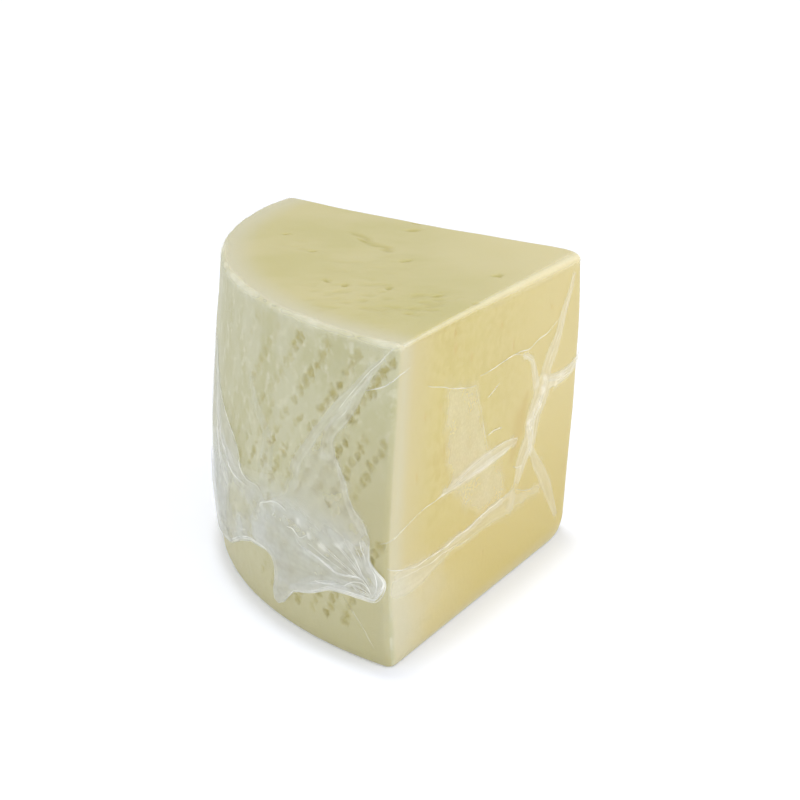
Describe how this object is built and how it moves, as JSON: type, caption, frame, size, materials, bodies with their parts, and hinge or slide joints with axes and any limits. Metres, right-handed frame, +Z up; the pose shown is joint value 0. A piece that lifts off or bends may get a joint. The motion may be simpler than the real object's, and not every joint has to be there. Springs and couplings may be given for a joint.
{
  "type": "pecorino romano wedge",
  "caption": "Wedge of a tall hard cheese wheel with a swollen, pitted rind and flat cut faces, wrapped tight in clear film with pleats and a bunched tail.",
  "frame": {"origin": "on the base, below the middle of the whole's bounding box", "axes": "+Z up, the wheel's axis direction; +X from the rind to the thin end of the wedge; +Y from the front corner to the back corner of the rind"},
  "size_m": [0.1616, 0.2267, 0.1297],
  "materials": {
    "pressed_cheese": "pale straw pressed curd, faintly waxy, with a greyer rind",
    "stretch_film": "clear stretch film, glossy, milky white where it is bunched in layers"
  },
  "bodies": {
    "root": {"cheese": "pressed_cheese", "film": "stretch_film"}
  },
  "joints": []
}
